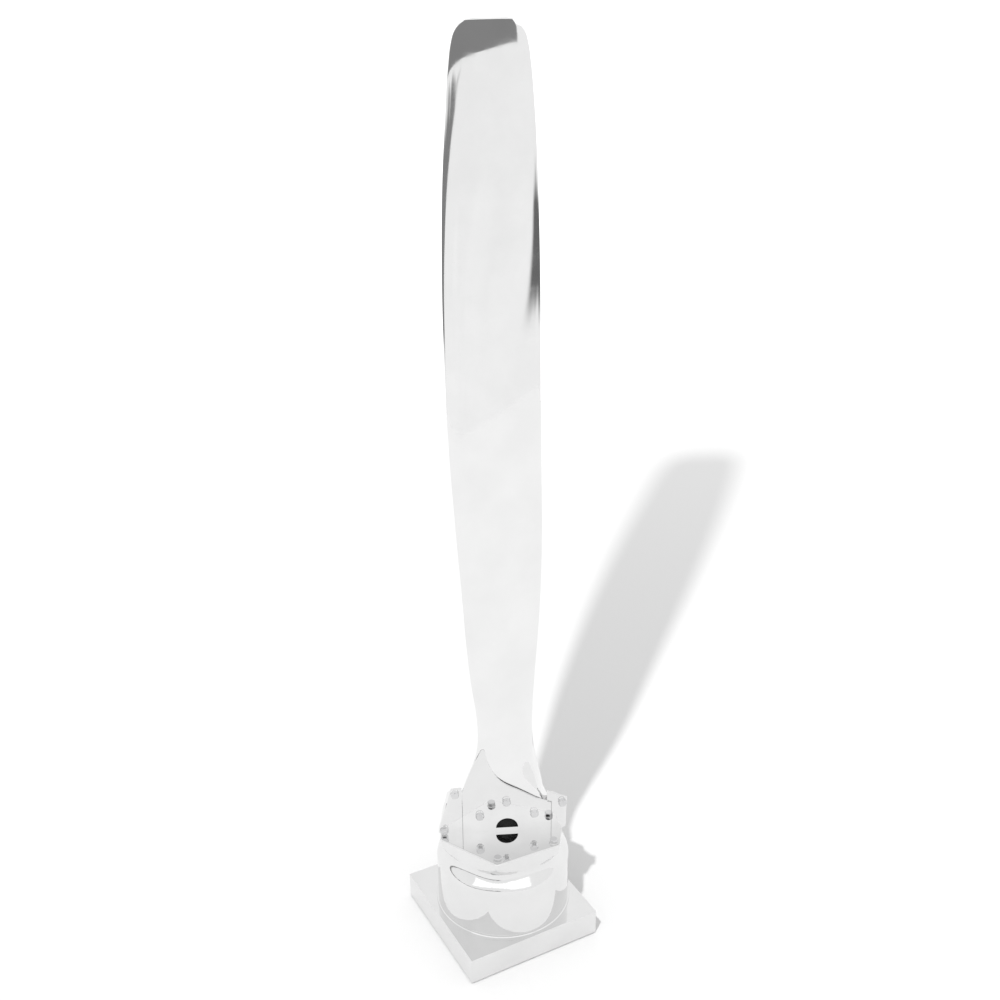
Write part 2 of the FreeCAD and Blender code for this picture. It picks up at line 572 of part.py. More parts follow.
def make_gusset(foot, top, inner_z, outer_z, side):
    """A solid block between the flange, the hub's side and the drum, with its top sloping to the rear."""
    inset, drop = GUSSET_INSET + FLANGE_THICK, GUSSET_TOP_DROP
    sizes = (foot - inset, top - inset, inner_z - drop, outer_z - drop, side)
    gusset = upright_slab(front_profile(HUB_HALF_WIDTH, *sizes), FLANGE_BACK, HUB_HALF_THICK)
    slope_start = FLANGE_BACK + GUSSET_LEDGE
    gusset = gusset.cut(above_slope(HUB_HALF_WIDTH, *sizes[1:4], slope_start, GUSSET_SLOPE, side))
    gusset = drill_through(gusset, own_bolts(side), M8_RADIUS + THREAD_CLEARANCE, FLANGE_BACK,
                           FLANGE_BACK + BRACKET_BOLT_GRIP)
    for z in SIDE_SCREW_HEIGHTS:
        start = FreeCAD.Vector(side * HUB_HALF_WIDTH, 0, z)
        gusset = gusset.cut(Part.makeCylinder(M8_RADIUS + BOLT_CLEARANCE, 60, start, X_AXIS * side))
        seat = FreeCAD.Vector(side * (HUB_HALF_WIDTH + SIDE_SCREW_HEAD), 0, z)
        gusset = gusset.cut(Part.makeCylinder(M8_FLATS / 2 + 0.5, 60, seat, X_AXIS * side))
    return gusset


def make_bracket_fasteners():
    bolts, washers = [], []
    for x, z in bracket_bolt_places():
        seat = FreeCAD.Vector(x, -FACE_DEPTH, z)
        length = M8_WASHER_THICK + FLANGE_THICK + BRACKET_BOLT_GRIP
        bolts.append(bolt(M8_RADIUS, M8_FLATS, M8_HEAD, seat - Y_AXIS * M8_WASHER_THICK, Y_AXIS * -1, length))
        washers.append(washer(M8_WASHER_RADIUS, M8_RADIUS + BOLT_CLEARANCE, M8_WASHER_THICK, seat,
                              Y_AXIS * -1))
    return bolts, washers


def make_side_screws():
    screws = []
    for side in (-1, 1):
        for z in SIDE_SCREW_HEIGHTS:
            seat = FreeCAD.Vector(side * (HUB_HALF_WIDTH + SIDE_SCREW_HEAD), 0, z)
            head = Part.makeCylinder(M8_FLATS / 2, SOCKET_HEAD, seat, X_AXIS * side)
            socket = hexagon_bar(SOCKET_FLATS, SOCKET_HEAD / 2, seat + X_AXIS * (side * SOCKET_HEAD),
                                 X_AXIS * -side)
            shank = Part.makeCylinder(M8_RADIUS, SIDE_SCREW_HEAD + SIDE_SCREW_GRIP, seat, X_AXIS * -side)
            screws.append(head.cut(socket).fuse(shank).removeSplitter())
    return screws


def main():
    os.makedirs("parts", exist_ok=True)
    write("base_felt", make_felt())
    write("base_cover", make_cover())
    write("base_core", make_core())
    write("base_ballast", make_ballast())
    write("base_bolts", *[on_drum(b) for b in make_base_bolts()])

    write("drum_ring", on_drum(make_ring()))
    write("drum_floor", on_drum(make_drum_floor()))
    write("drum_body", on_drum(make_drum_body()))
    write("drum_top_backing", on_drum(make_top_backing()))
    cap_bolts, cap_washers = make_cap_fasteners()
    write("cap_bolts", *[on_drum(b) for b in cap_bolts])
    write("cap_washers", *[on_drum(w) for w in cap_washers])
    rods, rod_washers, rod_nuts = make_tie_rods()
    write("tie_rods", *[on_drum(r) for r in rods])
    write("tie_rod_washers", *[on_drum(w) for w in rod_washers])
    write("tie_rod_nuts", *[on_drum(n) for n in rod_nuts])

    write("blade", in_root(make_blade()))
    write("bore_insert", in_root(make_bore_insert()))
    write("front_face_plate", in_root(make_face_plate(front_plate_outline(), -1)))
    write("rear_face_plate", in_root(make_face_plate(rear_plate_outline(), 1)))
    bolts, washers, nuts = make_hub_fasteners()
    write("hub_bolts", *[in_root(b) for b in bolts])
    write("hub_washers", *[in_root(w) for w in washers])
    write("hub_nuts", *[in_root(n) for n in nuts])

    left = (LEFT_FOOT_REACH, LEFT_TOP_REACH, LEFT_TOP, LEFT_TOP, -1)
    right = (RIGHT_FOOT_REACH, RIGHT_TOP_REACH, RIGHT_INNER_TOP, RIGHT_TOP, 1)
    write("left_bracket", in_root(make_bracket(*left)))
    write("right_bracket", in_root(make_bracket(*right).fuse(make_right_lug()).removeSplitter()))
    write("left_gusset", in_root(make_gusset(*left)))
    write("right_gusset", in_root(make_gusset(*right)))
    bolts, washers = make_bracket_fasteners()
    write("bracket_bolts", *[in_root(b) for b in bolts])
    write("bracket_washers", *[in_root(w) for w in washers])
    write("side_screws", *[in_root(s) for s in make_side_screws()])


main()
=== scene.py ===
"""Looks for the polished aluminium propeller blade on its six-sided drum and square plinth.

Metres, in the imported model's own frame: the origin is the centre of the plinth's underside, +Z is up and the
plinth's front face looks towards -Y. Azimuths are degrees from -Y towards +X, seen from above.
"""
import json
import math

import bpy
from mathutils import Matrix, Vector


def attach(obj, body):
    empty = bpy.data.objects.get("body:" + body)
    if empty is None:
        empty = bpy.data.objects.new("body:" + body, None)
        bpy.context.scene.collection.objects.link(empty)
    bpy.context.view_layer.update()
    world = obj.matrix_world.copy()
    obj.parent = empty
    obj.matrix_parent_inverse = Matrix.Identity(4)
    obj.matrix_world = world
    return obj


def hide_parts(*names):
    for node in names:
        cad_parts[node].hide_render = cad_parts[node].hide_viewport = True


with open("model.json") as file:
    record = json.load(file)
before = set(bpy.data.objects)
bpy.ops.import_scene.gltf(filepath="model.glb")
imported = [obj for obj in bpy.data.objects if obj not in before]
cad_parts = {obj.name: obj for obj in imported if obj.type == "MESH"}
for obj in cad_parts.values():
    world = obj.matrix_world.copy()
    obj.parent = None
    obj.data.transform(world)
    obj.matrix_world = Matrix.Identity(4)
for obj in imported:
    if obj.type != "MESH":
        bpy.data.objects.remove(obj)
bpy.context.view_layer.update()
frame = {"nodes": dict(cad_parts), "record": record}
NODES = frame["nodes"]

# Camera
CAMERA_AZIMUTH = -28.4
CAMERA_OFFSET = 0.0039
CAMERA_DISTANCE = 1.7495
CAMERA_HEIGHT = 1.5869
CAMERA_PITCH = 23.21
CAMERA_ROLL = -0.45
LENS = 43.2
SENSOR = 36.0
CLIP_END = 100.0

# Studio: a round white floor whose colour holds painted shade against the lamp, a white room and one lamp.
# LAMP_PLACE is to the camera's right, away from the camera and up, from the stand, in metres
FLOOR_RADIUS = 3.0
FLOOR_SEGMENTS = 96
FLOOR_WHITE = 1.04
LAMP_SHARE = 0.72
LAMP_PLACE = (-0.437, -1.333, 2.419)
LAMP_RADIUS = 0.035
LAMP_POWER = LAMP_SHARE * 4 * math.pi ** 2
ROOM_LIGHT = 0.985
ROOM_UNEVENNESS = 0.03
ROOM_CLOUD_SCALE = 1.6
EDGE_WANDER = 4.0
EDGE_WANDER_SCALE = 9.0
BACKDROP_WHITE = 1.5

# Dark flags and bright panels in the white room, and the ground beyond the floor. Each has its azimuth range,
# its elevation range, how far its right edge leans for each degree up and its softness, in degrees, and how
# much it changes the light. Azimuth 0 is from the stand towards the camera, and azimuths grow towards the
# camera's right.
STUDIO_PARTS = {
    "left_flag": (-120.0, -42.0, -15.0, -1.0, 3.0, 1.0, -0.75),
    "right_flag": (30.0, 65.0, -15.0, -9.0, 0.0, 1.0, -0.85),
    "front_panel": (-50.0, 45.0, 8.0, 30.0, 0.0, 1.5, 0.45),
    "top_panel": (-30.0, 30.0, 34.0, 39.0, 0.0, 1.0, 0.35),
    "far_floor": (-200.0, 200.0, -80.0, -11.0, 0.0, 5.0, 0.04),
}
# A plain flag in front of the tip, so that it stands out from the white ground, in metres
TIP_FLAG_DISTANCE = 0.8
TIP_FLAG_SIDES = (-0.9, 0.3)
TIP_FLAG_HEIGHTS = (1.5, 2.0)
TIP_FLAG_SHADE = 0.25

# The polish's clouds and wiping marks, and how a plain surface varies about its colour and roughness
CLOUD_SCALE = 14.0
CLOUD_EDGES = (0.35, 0.65)
SMEAR_SCALE = 38.0
SMEAR_EDGES = (0.35, 0.7)
PLAIN_SHADES = (0.8, 1.15)
PLAIN_ROUGHNESSES = (0.8, 1.2)

# The root's own frame, in millimetres: X along the half hub's width, -Y to its front, Z up
MM = 0.001
DRUM_SHIFT = 4.5
BLADE_YAW = -24.0
HUB_SHIFT = 5.6
HUB_FOOT = 212.0
HUB_TOP = 240.0
HUB_HALF_WIDTH = 80.0
HUB_HALF_THICK = 27.0
HUB_SQUARENESS = 14.0
BORE_RADIUS = 19.5
BORE_CENTRE = 219.5
BORE_STEPS = 32
SEAT_GAP = 0.5
SEAT_DEPTH = 30.0
FACE_TOLERANCE = 0.01
LEAST_CORNER = 0.4

# The drum, round below and six-sided at its top
DRUM_FOOT = 54.5
SHOULDER_START = 143.0
SHOULDER_END = 178.0
DRUM_TOP = 212.0
DRUM_RADIUS = 119.0
HEX_APOTHEM = 106.0
HEX_FOOT_POWER = 5.5
HEX_CORNER_POWER = 60.0
HEX_CORNER_AZIMUTH = -33.0
HEX_EDGE_ROUND = 2.0
RIM_STEPS = 6
DRUM_POINTS = 360
DRUM_ROW = 1.75
DRUM_SEAM = 0.02
FLAT_BORDER = 0.6

# Height, left edge, right edge, pitch, skew, front bulge, rear bulge, squareness, nose bias
BLADE_STATIONS = (
    (HUB_TOP, -HUB_HALF_WIDTH, HUB_HALF_WIDTH, 0.0, 0.0, HUB_HALF_THICK, HUB_HALF_THICK, HUB_SQUARENESS, 0.0),
    (255.0, -78.3, 73.8, 0.0, 2.0, 27.0, 27.0, 14.0, 0.0),
    (268.0, -76.0, 68.0, 0.6, 5.0, 26.9, 26.9, 12.0, 0.0),
    (281.0, -73.7, 64.5, 1.5, 8.0, 26.7, 26.7, 11.0, 0.0),
    (302.0, -71.0, 59.0, 4.5, 12.0, 26.0, 26.0, 9.0, 0.01),
    (325.0, -64.5, 53.5, 9.5, 16.0, 24.5, 24.3, 6.5, 0.02),
    (350.0, -56.8, 51.0, 15.5, 14.0, 22.0, 21.2, 4.4, 0.05),
    (376.0, -51.2, 49.8, 20.0, 8.0, 20.0, 18.2, 3.0, 0.10),
    (402.0, -49.0, 49.0, 22.0, 2.0, 18.4, 15.8, 2.5, 0.16),
    (440.0, -50.0, 50.0, 21.5, 0.0, 16.6, 13.0, 2.2, 0.22),
    (505.0, -58.0, 53.5, 19.0, 0.0, 13.6, 9.3, 2.0, 0.30),
    (582.0, -65.0, 58.5, 16.5, 0.0, 11.8, 7.2, 2.0, 0.36),
    (658.0, -69.5, 62.0, 14.0, 0.0, 10.5, 5.9, 2.0, 0.40),
    (767.0, -76.5, 63.5, 11.0, 0.0, 9.3, 4.8, 2.0, 0.42),
    (905.0, -84.5, 61.0, 8.0, 0.0, 8.3, 3.9, 2.0, 0.42),
    (1036.0, -88.5, 59.2, 6.0, 0.0, 7.4, 3.3, 2.0, 0.42),
    (1218.0, -88.5, 56.8, 4.0, 0.0, 6.4, 2.7, 2.0, 0.42),
    (1332.0, -84.5, 53.0, 2.6, 0.0, 5.6, 2.3, 2.0, 0.42),
    (1430.0, -77.5, 47.7, 1.4, 0.0, 4.8, 2.0, 2.0, 0.40),
    (1490.0, -72.6, 42.2, 0.7, 0.0, 4.1, 1.7, 2.0, 0.36),
    (1515.0, -68.8, 38.5, 0.4, 0.0, 3.7, 1.5, 2.0, 0.30),
    (1530.0, -64.0, 34.0, 0.2, 0.0, 3.2, 1.4, 2.0, 0.24),
    (1538.0, -58.5, 29.5, 0.1, 0.0, 2.6, 1.2, 2.0, 0.16),
    (1543.0, -52.5, 24.0, 0.0, 0.0, 2.0, 1.0, 2.0, 0.08),
    (1546.0, -45.5, 18.0, 0.0, 0.0, 1.3, 0.8, 2.0, 0.0),
    (1547.4, -34.0, 9.0, 0.0, 0.0, 0.7, 0.5, 2.0, 0.0),
)
SECTION_POINTS = 216
ROW_SPACING = 7.0
LEAST_ROWS = 3
CREASE_ANGLE = 32.0

ROOT_TO_MODEL = (Matrix.Translation((DRUM_SHIFT * MM, 0, 0))
                 @ Matrix.Rotation(math.radians(BLADE_YAW), 4, "Z")
                 @ Matrix.Translation((HUB_SHIFT * MM, 0, 0)) @ Matrix.Scale(MM, 4))


def node_tree(material_name):
    material = bpy.data.materials.new(material_name)
    material.use_nodes = True
    tree = material.node_tree
    return material, tree, tree.nodes["Principled BSDF"]


def add(tree, kind, **inputs):
    """A node with some of its inputs set by name."""
    node = tree.nodes.new(kind)
    for name, value in inputs.items():
        node.inputs[name.replace("_", " ")].default_value = value
    return node


def polished_metal(name, colour, shade_range, rough_range, wave_scale, wave_height):
    """Mirror-polished aluminium: cloudy polish, faint wiping marks and a surface that isn't quite flat."""
    material, tree, shader = node_tree(name)
    shader.inputs["Metallic"].default_value = 1.0
    place = tree.nodes.new("ShaderNodeTexCoord")
    clouds = add(tree, "ShaderNodeTexNoise", Scale=CLOUD_SCALE, Detail=4.0, Roughness=0.55)
    tree.links.new(place.outputs["Object"], clouds.inputs["Vector"])
    tint = tree.nodes.new("ShaderNodeValToRGB")
    low, high = (tuple(c * shade for c in colour) + (1.0,) for shade in shade_range)
    tint.color_ramp.elements[0].position, tint.color_ramp.elements[1].position = CLOUD_EDGES
    tint.color_ramp.elements[0].color, tint.color_ramp.elements[1].color = low, high
    tree.links.new(clouds.outputs["Fac"], tint.inputs["Fac"])
    tree.links.new(tint.outputs["Color"], shader.inputs["Base Color"])
    smears = add(tree, "ShaderNodeTexNoise", Scale=SMEAR_SCALE, Detail=6.0, Roughness=0.62)
    tree.links.new(place.outputs["Object"], smears.inputs["Vector"])
    rough = tree.nodes.new("ShaderNodeMapRange")
    rough.inputs["From Min"].default_value, rough.inputs["From Max"].default_value = SMEAR_EDGES
    rough.inputs["To Min"].default_value, rough.inputs["To Max"].default_value = rough_range
    tree.links.new(smears.outputs["Fac"], rough.inputs["Value"])
    tree.links.new(rough.outputs["Result"], shader.inputs["Roughness"])
    waves = add(tree, "ShaderNodeTexNoise", Scale=wave_scale, Detail=1.0)
    tree.links.new(place.outputs["Object"], waves.inputs["Vector"])
    bump = add(tree, "ShaderNodeBump", Distance=wave_height, Strength=1.0)
    tree.links.new(waves.outputs["Fac"], bump.inputs["Height"])
    tree.links.new(bump.outputs["Normal"], shader.inputs["Normal"])
    return material


def plain_surface(name, colour, roughness, grain, metallic=0.0):
    """A matt or brushed surface with a fine, even grain."""
    material, tree, shader = node_tree(name)
    shader.inputs["Metallic"].default_value = metallic
    place = tree.nodes.new("ShaderNodeTexCoord")
    noise = add(tree, "ShaderNodeTexNoise", Scale=grain, Detail=5.0)
    tree.links.new(place.outputs["Object"], noise.inputs["Vector"])
    tint = tree.nodes.new("ShaderNodeValToRGB")
    tint.color_ramp.elements[0].color = tuple(c * PLAIN_SHADES[0] for c in colour) + (1.0,)
    tint.color_ramp.elements[1].color = tuple(min(1.0, c * PLAIN_SHADES[1]) for c in colour) + (1.0,)
    tree.links.new(noise.outputs["Fac"], tint.inputs["Fac"])
    tree.links.new(tint.outputs["Color"], shader.inputs["Base Color"])
    rough = tree.nodes.new("ShaderNodeMapRange")
    rough.inputs["To Min"].default_value = roughness * PLAIN_ROUGHNESSES[0]
    rough.inputs["To Max"].default_value = min(1.0, roughness * PLAIN_ROUGHNESSES[1])
    tree.links.new(noise.outputs["Fac"], rough.inputs["Value"])
    tree.links.new(rough.outputs["Result"], shader.inputs["Roughness"])
    return material


MATERIALS = {
    "blade_aluminium": polished_metal("blade_polish",
                                      (0.852, 0.852, 0.852), (0.96, 1.0), (0.03, 0.07), 5.0, 0.00006),
    "plate_aluminium": polished_metal("plate_polish",
                                      (0.795, 0.795, 0.795), (0.96, 1.0), (0.02, 0.06), 14.0, 0.00003),
    "drum_aluminium": polished_metal("drum_polish",
                                     (0.81, 0.81, 0.81), (0.96, 1.0), (0.03, 0.07), 12.0, 0.0001),
    "plinth_aluminium": polished_metal("plinth_polish",
                                       (0.81, 0.81, 0.81), (0.96, 1.0), (0.04, 0.10), 10.0, 0.0001),
    "bolt_chrome": polished_metal("bolt_chrome",
                                  (0.70, 0.70, 0.705), (0.85, 1.0), (0.06, 0.14), 60.0, 0.00005),
    "steel": plain_surface("plain_steel", (0.45, 0.45, 0.46), 0.35, 90.0, 1.0),
    # Near-black matt surface for the insert in the bore: painted shade that makes the bore read as dark as the
    # inside of a deep hollow.
    "black_rubber": plain_surface("black_rubber", (0.006, 0.006, 0.006), 0.8, 200.0),
    "core_board": plain_surface("core_board", (0.40, 0.28, 0.17), 0.8, 160.0),
    "felt": plain_surface("pressed_felt", (0.06, 0.06, 0.065), 0.95, 400.0),
}


def dress_cad_nodes():
    slots = {part["node"]: part["material_slot"] for part in frame["record"]["subparts"]}
    for name, node in NODES.items():
        material = MATERIALS["plate_aluminium" if name.endswith("_washers") else slots[name]]
        if not node.material_slots:
            node.data.materials.append(material)
        for slot in node.material_slots:
            slot.material = material


def new_piece(name, points, faces, to_model, node, slot):
    """A smooth closed mesh that stands for a CAD node."""
    mesh = bpy.data.meshes.new(name)
    mesh.from_pydata([to_model @ Vector(point) for point in points], [], faces)
    piece = bpy.data.objects.new(name, mesh)
    bpy.context.scene.collection.objects.link(piece)
    mesh.materials.append(MATERIALS[slot])
    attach(piece, "root")
    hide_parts(node)
    return piece


def stack(rings):
    """Points and faces of a closed form through rings of equally many points, with both ends closed."""
    count = len(rings[0])
    points = [point for ring in rings for point in ring]
    faces = [tuple(range(count))[::-1], tuple(range(len(points) - count, len(points)))]
    for row in range(len(rings) - 1):
        for k in range(count):
            here, there = row * count + k, row * count + (k + 1) % count
            faces.append((here, there, there + count, here + count))
    return points, faces


def slope(table, row, column):
    """The rate at which a column of the table changes with height, at one of its rows."""
    below, above = max(row - 1, 0), min(row + 1, len(table) - 1)
    pairs = [(table[k], table[k + 1]) for k in range(below, above)]
    rates = [(high[column] - low[column]) / (high[0] - low[0]) for low, high in pairs]
    if len(rates) == 1:
        return rates[0]
    under, over = table[row][0] - table[below][0], table[above][0] - table[row][0]
    return (rates[0] * over + rates[1] * under) / (under + over)


def between(table, row, part):
    """A row of the table part of the way to the next one, on a smooth curve through all rows."""
    low, high = table[row], table[row + 1]
    rise = high[0] - low[0]
    square, cube = part ** 2, part ** 3
    values = [low[0] + rise * part]
    for column in range(1, len(low)):
        start, end = slope(table, row, column) * rise, slope(table, row + 1, column) * rise
        values.append((2 * cube - 3 * square + 1) * low[column] + (cube - 2 * square + part) * start
                      + (3 * square - 2 * cube) * high[column] + (cube - square) * end)
    return values


def blade_ring(height, left, right, pitch, skew, front, rear, squareness, nose):
    middle, half = (left + right) / 2, (right - left) / 2
    rise, lean = math.tan(math.radians(pitch)), math.tan(math.radians(skew))
    ring = []
    for k in range(SECTION_POINTS):
        turn = 2 * math.pi * k / SECTION_POINTS
        along, across = math.cos(turn), -math.sin(turn)
        scale = (abs(along) ** squareness + abs(across) ** squareness) ** (-1 / squareness)
        along, across = along * scale, across * scale
        thick = (rear if across < 0 else front) * -across * (1 - nose * along)
        ring.append((middle + half * along + thick * lean, half * along * rise + thick, height))
    return ring[::-1]


def drum_ring(height, inset=0.0):
    """The drum's outline at a height: a circle, then a soft hexagon, then one with sharper corners."""
    part = min(1.0, max(0.0, (height - SHOULDER_START) / (SHOULDER_END - SHOULDER_START)))
    blend = part * part * (3 - 2 * part)
    rise = max(0.0, (height - SHOULDER_END) / (DRUM_TOP - SHOULDER_END))
    power = HEX_FOOT_POWER + (HEX_CORNER_POWER - HEX_FOOT_POWER) * rise * rise
    ring = []
    for k in range(DRUM_POINTS):
        turn = 2 * math.pi * k / DRUM_POINTS
        flats = [turn - math.radians(HEX_CORNER_AZIMUTH + 30 + 60 * side) for side in range(6)]
        total = sum(max(0.0, math.cos(flat)) ** power for flat in flats)
        hexagon = HEX_APOTHEM / total ** (1 / power)
        reach = DRUM_RADIUS * (1 - blend) + hexagon * blend - inset
        ring.append((reach * math.sin(turn), -reach * math.cos(turn), height))
    return ring


def add_drum():
    """The drum's outer form, with its rim rounded over a quarter circle."""
    rows = math.ceil((DRUM_TOP - HEX_EDGE_ROUND - SHOULDER_START) / DRUM_ROW)
    step = (DRUM_TOP - HEX_EDGE_ROUND - SHOULDER_START) / rows
    rings = [drum_ring(DRUM_FOOT + DRUM_SEAM), drum_ring(SHOULDER_START - DRUM_ROW)]
    rings += [drum_ring(SHOULDER_START + step * row) for row in range(rows + 1)]
    for k in range(1, RIM_STEPS + 1):
        turn = math.pi / 2 * k / RIM_STEPS
        height = DRUM_TOP - HEX_EDGE_ROUND * (1 - math.sin(turn))
        rings.append(drum_ring(height, HEX_EDGE_ROUND * (1 - math.cos(turn))))
    rings.append(drum_ring(DRUM_TOP, HEX_EDGE_ROUND + FLAT_BORDER))
    to_model = Matrix.Translation((DRUM_SHIFT * MM, 0, 0)) @ Matrix.Scale(MM, 4)
    drum = new_piece("smooth_drum", *stack(rings), to_model, "drum_body", "drum_aluminium")
    drum.data.shade_smooth()
    drum.data.set_sharp_from_angle(angle=math.radians(CREASE_ANGLE))


def plate_outline(node_name, side):
    """The outer edge of a face plate's outer face, in the root's X and Z, in order."""
    to_root = ROOT_TO_MODEL.inverted()
    mesh = NODES[node_name].data
    places = [to_root @ vertex.co for vertex in mesh.vertices]
    depth = max(place.y * side for place in places)
    uses, ends = {}, {}
    for polygon in mesh.polygons:
        if min(places[k].y * side for k in polygon.vertices) < depth - FACE_TOLERANCE:
            continue
        corners = [(round(places[k].x, 2), round(places[k].z, 2)) for k in polygon.vertices]
        for pair in zip(corners, corners[1:] + corners[:1]):
            uses[frozenset(pair)] = uses.get(frozenset(pair), 0) + 1
    for pair in (tuple(pair) for pair, count in uses.items() if count == 1 and len(pair) == 2):
        for here, there in (pair, pair[::-1]):
            ends.setdefault(here, []).append(there)
    loop = [max(ends)]
    while len(loop) < 2 or loop[-1] != loop[0]:
        ahead = [place for place in ends[loop[-1]] if len(loop) < 2 or place != loop[-2]]
        loop.append(ahead[0])
    return loop[:-1]


def widened(loop, gap):
    """The closed outline moved outwards by a gap, with its points anticlockwise."""
    area = sum(a[0] * b[1] - b[0] * a[1] for a, b in zip(loop, loop[1:] + loop[:1]))
    if area < 0:
        loop = loop[::-1]
    moved = []
    for before, here, after in zip(loop[-1:] + loop[:-1], loop, loop[1:] + loop[:1]):
        ways = [(Vector(end) - Vector(start)).normalized() for start, end in ((before, here), (here, after))]
        out = [Vector((way.y, -way.x)) for way in ways]
        corner = (out[0] + out[1]).normalized()
        moved.append(Vector(here) + corner * gap / max(LEAST_CORNER, corner.dot(out[0])))
    return moved


def cut_away(piece, points, faces):
    """Cut a closed form, given in the root's frame, out of a piece."""
    mesh = bpy.data.meshes.new("cutter")
    mesh.from_pydata([ROOT_TO_MODEL @ Vector(point) for point in points], [], faces)
    cutter = bpy.data.objects.new("cutter", mesh)
    bpy.context.scene.collection.objects.link(cutter)
    cut = piece.modifiers.new("cut", "BOOLEAN")
    cut.object, cut.operation, cut.solver = cutter, "DIFFERENCE", "EXACT"
    shape = piece.evaluated_get(bpy.context.evaluated_depsgraph_get())
    result = bpy.data.meshes.new_from_object(shape)
    piece.modifiers.clear()
    piece.data = result
    bpy.data.objects.remove(cutter)


def across_hub(outline, near, far):
    """A closed form with the same outline, in X and Z, at two depths."""
    rings = [[(x, depth, z) for x, z in outline] for depth in (near, far)]
    points, faces = stack(rings)
    if far > near:
        faces = [face[::-1] for face in faces]
    return points, faces


def add_blade():
    foot = (HUB_FOOT,) + BLADE_STATIONS[0][1:]
    rings = [blade_ring(*foot)]
    for row in range(len(BLADE_STATIONS) - 1):
        rise = BLADE_STATIONS[row + 1][0] - BLADE_STATIONS[row][0]
        steps = max(LEAST_ROWS, round(rise / ROW_SPACING))
        rings += [blade_ring(*between(BLADE_STATIONS, row, step / steps)) for step in range(steps)]
    rings.append(blade_ring(*BLADE_STATIONS[-1]))
    blade = new_piece("smooth_blade", *stack(rings), ROOT_TO_MODEL, "blade", "blade_aluminium")
    for name, side in (("front_face_plate", -1), ("rear_face_plate", 1)):
        outline = widened(plate_outline(name, side), SEAT_GAP)
        near = side * HUB_HALF_THICK
        cut_away(blade, *across_hub(outline, near, near + side * SEAT_DEPTH))
    turns = [math.pi * k / BORE_STEPS for k in range(BORE_STEPS + 1)]
    bore = [(BORE_RADIUS * math.cos(t), BORE_CENTRE + BORE_RADIUS * math.sin(t)) for t in turns]
    cut_away(blade, *across_hub(bore, -HUB_HALF_THICK - SEAT_DEPTH, HUB_HALF_THICK + SEAT_DEPTH))
    blade.data.shade_smooth()
    blade.data.set_sharp_from_angle(angle=math.radians(CREASE_ANGLE))


def add_camera():
    data = bpy.data.cameras.new("camera")
    data.lens, data.sensor_width = LENS, SENSOR
    data.clip_end = CLIP_END
    camera = bpy.data.objects.new("camera", data)
    bpy.context.scene.collection.objects.link(camera)
    turn = Matrix.Rotation(math.radians(CAMERA_AZIMUTH), 4, "Z")
    place = turn @ Matrix.Translation((CAMERA_OFFSET, -CAMERA_DISTANCE, CAMERA_HEIGHT))
    tilt = Matrix.Rotation(math.radians(90.0 - CAMERA_PITCH), 4, "X")
    camera.matrix_world = place @ tilt @ Matrix.Rotation(math.radians(CAMERA_ROLL), 4, "Z")
    bpy.context.scene.camera = camera


def from_camera(x, y, z):
    """A place given as the camera's right, away from the camera and up, in the model's frame."""
    return Matrix.Rotation(math.radians(CAMERA_AZIMUTH), 3, "Z") @ Vector((x, y, z))


def add_floor():
    # Painted shade: the floor's colour is darker where the lamp shines more squarely on it, so the lit floor
    # reads evenly white and its shadow is darker near the stand.
    material, tree, shader = node_tree("floor_paper_painted_shade")
    place = tree.nodes.new("ShaderNodeNewGeometry")
    reach = tree.nodes.new("ShaderNodeVectorMath")
    reach.operation = "DISTANCE"
    reach.inputs[1].default_value = from_camera(*LAMP_PLACE)
    tree.links.new(place.outputs["Position"], reach.inputs[0])
    facing = join(tree, "DIVIDE", LAMP_PLACE[2], reach.outputs["Value"])
    lit = join(tree, "ADD", 1.0, join(tree, "MULTIPLY", facing, LAMP_SHARE))
    shade = join(tree, "DIVIDE", FLOOR_WHITE, lit)
    tree.links.new(shade, shader.inputs["Base Color"])
    shader.inputs["Roughness"].default_value = 1.0
    shader.inputs["Specular IOR Level"].default_value = 0.0
    turns = [2 * math.pi * k / FLOOR_SEGMENTS for k in range(FLOOR_SEGMENTS)]
    rim = [(FLOOR_RADIUS * math.cos(t), FLOOR_RADIUS * math.sin(t), 0.0) for t in turns]
    mesh = bpy.data.meshes.new("floor")
    mesh.from_pydata(rim, [], [tuple(range(FLOOR_SEGMENTS))])
    mesh.materials.append(material)
    floor = bpy.data.objects.new("floor", mesh)
    bpy.context.scene.collection.objects.link(floor)


def add_tip_flag():
    """A dark sheet that only the polish sees, and only from its front."""
    material = bpy.data.materials.new("tip_flag")
    material.use_nodes = True
    tree = material.node_tree
    tree.nodes.clear()
    glow = add(tree, "ShaderNodeEmission", Strength=TIP_FLAG_SHADE)
    side, clear = tree.nodes.new("ShaderNodeNewGeometry"), tree.nodes.new("ShaderNodeBsdfTransparent")
    sheet, out = tree.nodes.new("ShaderNodeMixShader"), tree.nodes.new("ShaderNodeOutputMaterial")
    tree.links.new(side.outputs["Backfacing"], sheet.inputs["Fac"])
    tree.links.new(glow.outputs["Emission"], sheet.inputs[1])
    tree.links.new(clear.outputs["BSDF"], sheet.inputs[2])
    tree.links.new(sheet.outputs["Shader"], out.inputs["Surface"])
    (left, right), (low, high) = TIP_FLAG_SIDES, TIP_FLAG_HEIGHTS
    corners = [(left, high), (right, high), (right, low), (left, low)]
    mesh = bpy.data.meshes.new("tip_flag")
    mesh.from_pydata([from_camera(x, -TIP_FLAG_DISTANCE, z) for x, z in corners], [], [(0, 1, 2, 3)])
    mesh.materials.append(material)
    flag = bpy.data.objects.new("tip_flag", mesh)
    bpy.context.scene.collection.objects.link(flag)
    flag.visible_camera = flag.visible_diffuse = flag.visible_shadow = False


